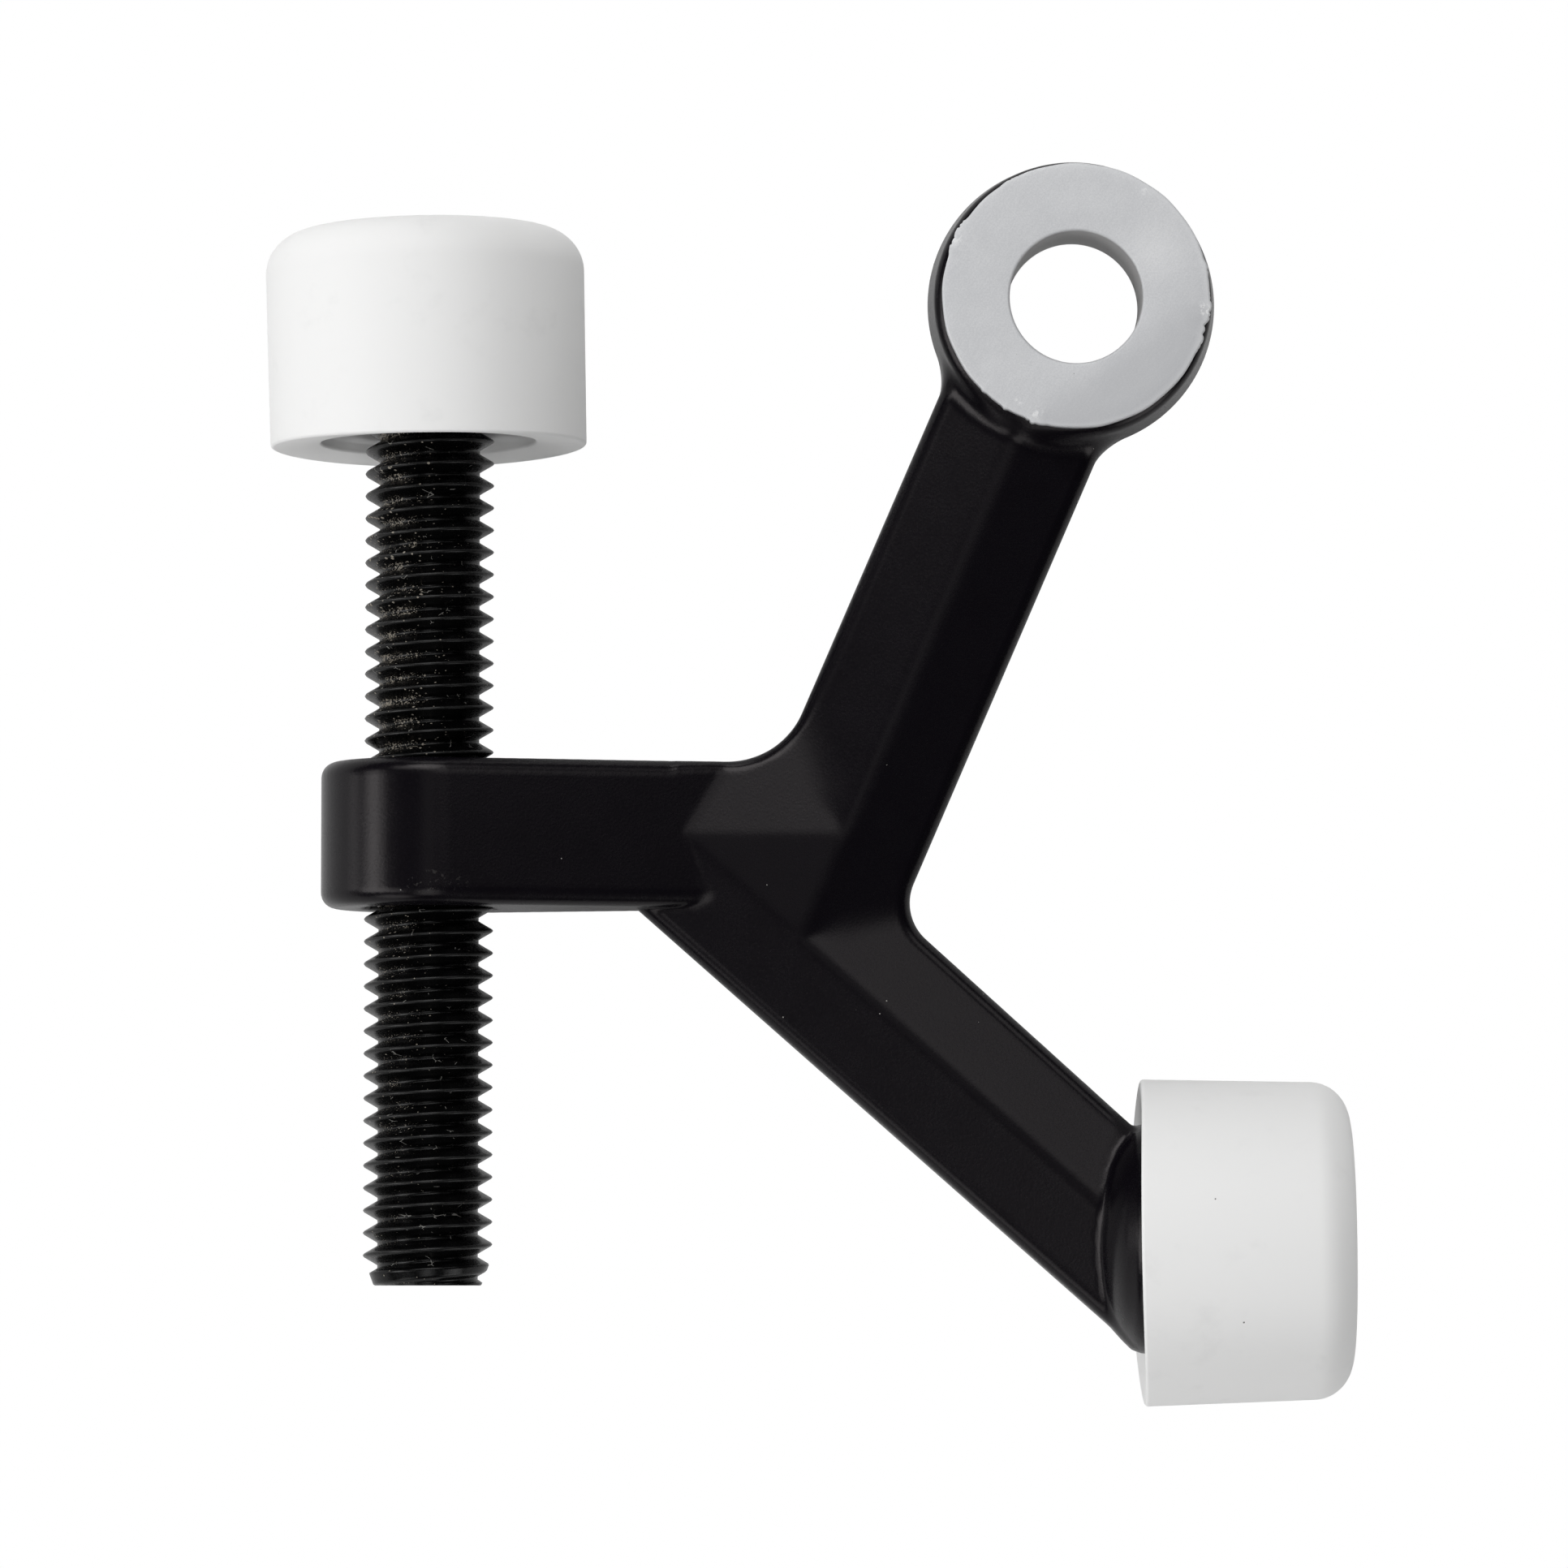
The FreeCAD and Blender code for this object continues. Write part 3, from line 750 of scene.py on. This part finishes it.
def nylonFinish(coat):
    m = Finish("nylonBushing", {"Specular IOR Level": coat["specular"]})
    x, y, z = m.axes()
    radius = (x * x + y * y).root()
    grain = m.noise(coat["grain"], 3, 0.6)
    clouds = m.noise(coat["cloudSize"], 4, 0.6)
    along = m.add("ShaderNodeMapping", {"vector_type": "TEXTURE"}, {
        "Vector": m.place, "Rotation": (0, 0, math.radians(coat["streakLean"])),
        "Scale": (coat["streakLength"], 1, 1)})
    streaks = m.noise(coat["streakSize"], 2, 0.6, where=along)
    rim = m.fade(radius, *coat["rimFrom"]) * coat["rimShare"]
    inside = m.fade(radius, *coat["wallFrom"]) * m.fade(z, *coat["wallBelow"])
    shaded = m.fade(x * 0.6 - y * 0.8, *coat["shadedFrom"])         # the low right of the flange
    # painted highlight: a pale pool of light round litPlace, on the flange's upper right
    lit = m.fade(m.away(*coat["litPlace"]), *coat["litReach"])
    (wallSize, wallReach), (faceSize, faceReach) = coat["wallSpecks"], coat["faceSpecks"]
    specks = (m.grains(wallSize) < wallReach) * inside + (m.grains(faceSize) < faceReach)
    crumbs = 0.0
    for tearX, tearY, reach in coat["tears"]:
        crumbs = m.fade(m.away(tearX, tearY), reach, 0.2 * reach) + crumbs
    crumbs = crumbs.least(1) * m.fade(m.noise(coat["crumbSize"], 3, 0.7), 0.5, 0.6)
    fine = m.noise(coat["fineSize"], 2, 0.7) - 0.5
    mottle = ((clouds - 0.5) * coat["cloudShare"] + (streaks - 0.5) * coat["streakShare"]
              + fine * coat["fineShare"] + lit * coat["litShare"])
    colour = m.mix((mottle + 0.25).most(0).least(1), coat["colour"], coat["rubbedAndLitColour"])
    colour = m.mix(shaded * coat["shadedShare"], colour, coat["shadedColour"])
    colour = m.mix(rim, colour, coat["rubbedAndLitColour"])
    # painted shade: the wall of the hole is darkened, and its dark specks are dirt
    colour = m.mix(inside, colour, coat["wallShadeColour"])
    colour = m.mix(crumbs * coat["crumbShare"], colour, coat["crumbColour"])
    colour = m.mix(specks.least(1) * coat["speckShare"], colour, coat["dirtColour"])
    rough = coat["roughness"] + (grain - 0.5) * 0.15 + (streaks - 0.5) * 0.15
    coarse = m.bump(clouds, 0.4, coat["cloudDepth"])
    shape = m.bump(grain, 0.8, coat["grainDepth"], coarse)
    return m.wear(colour=colour, roughness=rough, normal=shape)


def buildBushing(form, material):
    def torn(angle, radius, height):        # shifts the bore and the flange, and tears the rim
        atBore = radius < form["bore"] + form["boreBand"]
        if radius < form["flangeRadius"] - form["rimBand"] and not atBore:
            return radius, height
        shiftX, shiftY = form["boreShift" if atBore else "flangeShift"]
        radius += shiftX * math.cos(angle) + shiftY * math.sin(angle)
        if atBore:
            return radius, height
        for middle, width, reach, lift in form["flash"]:
            off = (math.degrees(angle) - middle + 180) % 360 - 180
            share = max(0, 1 - abs(off) / width)
            jagged = 0.6 + 0.4 * math.sin(off * 5.1) * math.sin(off * 2.3 + 1)
            radius += reach * share * jagged
            height += lift * share * jagged * form["flashLift"]
        for rise, count, start in form["waves"]:
            radius += rise * math.sin(angle * count + start)
        return radius, height

    edge, lip = form["edge"], form["boreEdge"]
    profile = [
        (form["bore"], form["back"]),
        (form["sleeveRadius"], form["back"]),
        (form["sleeveRadius"], form["face"]),
        (form["flangeRadius"], form["face"]),
    ]
    profile += arcPoints((form["flangeRadius"] - edge, form["front"] - edge), edge, 0, 90, 4)
    profile += [(radius, form["front"]) for radius in form["flangeRows"]]
    profile += arcPoints((form["bore"] + lip, form["front"] - lip), lip, 90, 180, 5)
    return turned("eye_bushing_skin", profile, material, Matrix.Identity(4), form["around"], torn)


bushing = buildBushing(bushingForm, nylonFinish(nylon))
finishPiece(bushing, "bracket", "nylon", "eye_bushing")


# Adjusting screw: its right-handed thread is a helix of rows, each at its own crest or flank
screwForm = {
    "Axis X": -39.64,
    "Low End": -60.6,
    "Pitch": 1.375,
    "Turns": 39,
    "Crest Radius": 3.97,
    "Thread Depth": 0.89,
    "Crest Flat": 0.085,
    "Root Flat": 0.16,
    "End Radius": 3.3,
    "End Taper": 1.8,
    "Start Angle": 2.64,
    "Columns": 84,
    "Rows": 14,
    "Head Radius": 7.5,
    "Head Low": -6.65,
    "Head Thick": 5.0,
    "Head Sides": 96,
}
screwPlain = ("Crest Flat", "Root Flat", "Start Angle")         # not lengths; nor are the counts
screwCoat = {
    "colour": (0.0012, 0.0012, 0.0013),
    "crestColour": (0.012, 0.012, 0.012),
    "dustColour": (0.31, 0.28, 0.235),
    "lintColour": (0.45, 0.44, 0.41),
    "specular": 0.2,
    "roughness": 0.26,
    "coatGrain": 0.2,
    "coatDepth": 0.01,
    "rootBand": (0.45, 0.1),                # over the root's radius
    "crestBand": 0.08,
    "patchSize": 1.3,
    "fineSize": 0.13,                       # fine dust lies in the roots, and loose grains all over
    "fineAcross": (1.2, -2.2),              # from the right to the left of the axis
    "fineLess": 0.15,
    "looseSize": 0.4,
    "looseAcross": (2.6, -1.0),
    "looseLeast": 0.3,
    "looseLess": 0.3,
    "looseShare": 0.75,
    "dustyHeights": (-58.0, -24.0),         # from the cleaner low end to the dusty upper part
    "dustyLeast": 0.45,
    "dustDepth": 0.02,
    "toneSize": 0.12,
    "lintSize": 1.1,
    "lintWidth": 0.015,
    "lintPatches": (0.9, 0.68),
    "lintShare": 0.5,
}


def blackScrewFinish(coat, form):
    m = Finish("blackScrew", {"Specular IOR Level": coat["specular"]})
    x, y, z = m.axes()
    dx = x - form["Axis X"]
    radius = (dx * dx + z * z).root()
    crest, root = form["Crest Radius"], form["Crest Radius"] - form["Thread Depth"]
    inRoot = m.fade(radius, *[root + band for band in coat["rootBand"]])
    onCrest = m.fade(radius, crest - coat["crestBand"], crest)
    left = m.fade(dx, *coat["fineAcross"])
    mostlyLeft = m.fade(dx, *coat["looseAcross"], coat["looseLeast"], 1.0)
    upper = m.fade(y, *coat["dustyHeights"], coat["dustyLeast"], 1.0)
    patches = m.noise(coat["patchSize"], 2, 0.6)
    fine = m.grains(coat["fineSize"]) < inRoot * left * upper * (patches - coat["fineLess"])
    looseReach = mostlyLeft * upper * (patches - coat["looseLess"]) * coat["looseShare"]
    dust = fine.most(m.grains(coat["looseSize"]) < looseReach)
    lintLines = m.grains(coat["lintSize"], "DISTANCE_TO_EDGE") < coat["lintWidth"]
    lint = lintLines * m.patches(*coat["lintPatches"])
    grain = m.noise(coat["coatGrain"], 3)
    tone = m.noise(coat["toneSize"], 1)
    colour = m.mix(onCrest, coat["colour"], coat["crestColour"])
    colour = m.mix(dust * (0.35 + tone * 0.9), colour, coat["dustColour"])
    colour = m.mix(lint * coat["lintShare"], colour, coat["lintColour"])
    rough = coat["roughness"] + (grain - 0.5) * 0.2 + dust * 0.4
    raised = m.bump(dust + lint, 0.5, coat["dustDepth"])
    shape = m.bump(grain, 0.5, coat["coatDepth"], raised)
    return m.wear(colour=colour, roughness=rough, normal=shape)


def screwTree(form):
    tree = bpy.data.node_groups.new("threadedRod", "GeometryNodeTree")
    tree.interface.new_socket("Geometry", in_out="OUTPUT", socket_type="NodeSocketGeometry")
    kinds = {name: "Int" if isinstance(value, int) else "Float" for name, value in form.items()}
    kinds["Coat"] = "Material"
    ports = {name: tree.interface.new_socket(
        name, in_out="INPUT", socket_type="NodeSocket" + kind).identifier
        for name, kind in kinds.items()}
    m = Maker(tree)
    names = tuple(kinds)
    size = dict(zip(names, m.add("NodeGroupInput", out=names)))
    pitch, columns, rows = size["Pitch"], size["Columns"], size["Rows"]
    spareTurns, firstTurns = 3, 2           # more rows at both ends, which close them
    rowCount = rows * (size["Turns"] + spareTurns) + 1
    grid = m.add("GeometryNodeMeshGrid", None, {"Vertices X": columns + 1, "Vertices Y": rowCount})
    index = m.add("GeometryNodeInputIndex")
    row = index % rowCount
    around = ((index + 0.5) / rowCount).whole() / columns
    climb = (row / rows + around - firstTurns) * pitch
    length = size["Turns"] * pitch
    past = (0 - climb).most(climb - length).most(0)
    ended = past > 0
    phase = (ended * (0 - around) + (1 - ended) * (row / rows)) % 1
    ripple = abs(phase - 0.5) * 2
    cutShare = (1 - ripple - size["Crest Flat"]) / (1 - size["Crest Flat"] - size["Root Flat"])
    thread = size["Crest Radius"] - size["Thread Depth"] * cutShare.most(0).least(1)
    along = climb.most(0).least(length)
    widening = size["Crest Radius"] - size["End Radius"]
    taper = size["End Radius"] + along * widening / size["End Taper"]
    radius = thread.least(taper) * (1 - past / pitch).most(0)
    angle = around * (2 * math.pi) + size["Start Angle"]
    place = m.add("ShaderNodeCombineXYZ", None, {
        "X": radius * angle.sine() + size["Axis X"],
        "Y": along + size["Low End"],
        "Z": radius * angle.cosine()})
    rod = m.add("GeometryNodeSetPosition", None, {"Geometry": grid, "Position": place})
    rod = m.add("GeometryNodeMergeByDistance", None, {"Geometry": rod, "Distance": 1e-7})
    headLow, neckLow = size["Head Low"], size["Low End"] + length
    parts = [rod]
    for wide, thick, middle in (
            (size["Head Radius"], size["Head Thick"], headLow + size["Head Thick"] / 2),
            (size["Crest Radius"], headLow - neckLow, (headLow + neckLow) / 2)):
        drum = m.add("GeometryNodeMeshCylinder", None, {
            "Vertices": size["Head Sides"], "Radius": wide, "Depth": thick})
        at = m.add("ShaderNodeCombineXYZ", None, {"X": size["Axis X"], "Y": middle})
        parts.append(m.add("GeometryNodeTransform", None, {
            "Geometry": drum, "Translation": at, "Rotation": (math.radians(-90), 0, 0)}))
    joined = m.add("GeometryNodeJoinGeometry", None, {"Geometry": parts})
    smooth = m.add("GeometryNodeSetShadeSmooth", None, {"Geometry": joined})
    real = m.add("GeometryNodeRealizeInstances", None, {"Geometry": smooth})
    painted = m.add("GeometryNodeSetMaterial", None, {"Geometry": real, "Material": size["Coat"]})
    m.add("NodeGroupOutput", None, {"Geometry": painted}, ())
    return tree, ports


def grown(name, tree, ports, values):        # runs a geometry tree once and keeps its plain mesh
    seed = bpy.data.objects.new(name, bpy.data.meshes.new(name + "_seed"))
    bpy.context.scene.collection.objects.link(seed)
    modifier = seed.modifiers.new("shape", "NODES")
    modifier.node_group = tree
    for key, value in values.items():
        modifier[ports[key]] = value
    evaluated = seed.evaluated_get(bpy.context.evaluated_depsgraph_get())
    mesh = bpy.data.meshes.new_from_object(evaluated)
    seed.modifiers.remove(modifier)
    seed.data = mesh
    mesh.name = name
    return seed


def buildScrew(form, material):
    tree, ports = screwTree(form)
    values = {name: value if isinstance(value, int) or name in screwPlain else value * mm
              for name, value in form.items()}
    values["Coat"] = material
    piece = grown("adjusting_screw_skin", tree, ports, values)
    tidyMesh(piece.data)
    return piece


screw = buildScrew(screwForm, blackScrewFinish(screwCoat, screwForm))
finishPiece(screw, "screw", "black_screw", "adjusting_screw")


# Studio: pale floor, soft lamps, and the camera that looks down on the stop
studio = {
    "floorSize": 3000.0,
    "floorGap": 0.2,
    "floorColour": (0.82, 0.82, 0.82),
    "lampDistance": 900.0,
    "worldStrength": 0.0,
    "camera": (-22.08, -60.72, 459.0),
    "target": (-17.78, -29.77, 0.0),
    "lens": 171.45,
    "sensor": 36.0,
    "clipStart": 10.0,
}
lamps = {           # round and soft: degrees round from +X, degrees up, half spread and strength
    "lowBack": (90, 8, 13.0, 2.3),
    "lowLeft": (180, 5, 8.0, 2.4),
    "lowFrontLeft": (240, 17, 14.0, 2.0),
    "lowFrontRight": (312, 17, 15.0, 2.7),
    "right": (48, 30, 10.0, 2.0),
    "left": (168, 30, 10.0, 2.7),
    "frontLeft": (192, 30, 15.0, 4.8),
    "back": (90, 48, 15.0, 4.8),
    "backLeft": (120, 48, 13.0, 2.6),
    "midFrontLeft": (210, 48, 10.0, 2.7),
    "midFront": (270, 48, 10.0, 2.1),
    "highRight": (45, 66, 10.0, 1.8),
    "highBack": (90, 66, 10.0, 1.2),
    "highFront": (270, 66, 10.0, 2.5),
    "top": (90, 87, 6.0, 0.64),
}


def whiteToCamera(m, output, white, lit):   # plain white behind the part; its reflections see lit
    camera, through = m.add("ShaderNodeLightPath", out=("Is Camera Ray", "Is Transmission Ray"))
    mixed = m.add("ShaderNodeMixShader", None, {0: camera.most(through), 1: lit, 2: white})
    m.feed(m.tree.nodes[output].inputs["Surface"], mixed)


def buildWorld(setup):
    world = bpy.data.worlds.new("studioAir")
    world.use_nodes = True
    bpy.context.scene.world = world
    m = Maker(world.node_tree)
    air = m.tree.nodes["Background"]
    m.feed(air.inputs["Color"], (1, 1, 1))
    m.feed(air.inputs["Strength"], setup["worldStrength"])
    white = m.add("ShaderNodeBackground", None, {"Color": (1, 1, 1), "Strength": 1.0})
    whiteToCamera(m, "World Output", white, Socket(m, air.outputs[0]))


def buildFloor(setup):
    m = Finish("paleFloor", {
        "Base Color": setup["floorColour"], "Roughness": 0.9, "Specular IOR Level": 0.0})
    white = m.add("ShaderNodeEmission", None, {"Color": (1, 1, 1), "Strength": 1.0})
    whiteToCamera(m, "Material Output", white, Socket(m, m.shader.outputs[0]))
    half = setup["floorSize"] * mm / 2
    height = cadBox[0][2] - setup["floorGap"] * mm
    corners = [(x * half, y * half, height) for x, y in ((-1, -1), (1, -1), (1, 1), (-1, 1))]
    floor = addMesh("studio_floor", corners, [(0, 1, 2, 3)], m.material, smooth=False)


def buildLamps(setup, lamps):
    middle = Vector(setup["target"]) * mm
    distance = setup["lampDistance"] * mm
    for name, (around, rise, spread, strength) in lamps.items():
        light = bpy.data.lights.new(name, "AREA")
        light.shape = "DISK"
        light.size = 2 * distance * math.tan(math.radians(spread))
        light.energy = strength * (math.pi * light.size / 2) ** 2
        lamp = bpy.data.objects.new(name, light)
        around, rise = math.radians(around), math.radians(rise)
        across, height = math.cos(rise), math.sin(rise)
        away = Vector((math.cos(around) * across, math.sin(around) * across, height))
        lamp.location = middle + away * distance
        lamp.rotation_euler = away.to_track_quat("Z", "Y").to_euler()
        bpy.context.scene.collection.objects.link(lamp)


def buildCamera(setup):
    camera = bpy.data.cameras.new("photoCamera")
    camera.lens = setup["lens"]
    camera.sensor_width = setup["sensor"]
    camera.clip_start = setup["clipStart"] * mm
    holder = bpy.data.objects.new("photoCamera", camera)
    eye, target = Vector(setup["camera"]) * mm, Vector(setup["target"]) * mm
    holder.location = eye
    back = (eye - target).normalized()
    right = Vector((0, 1, 0)).cross(back).normalized()
    up = back.cross(right)
    holder.rotation_euler = Matrix((right, up, back)).transposed().to_euler()
    bpy.context.scene.collection.objects.link(holder)
    bpy.context.scene.camera = holder


buildWorld(studio)
buildFloor(studio)
buildLamps(studio, lamps)
buildCamera(studio)
bpy.context.scene.view_settings.view_transform = "Standard"
print("studio ready")
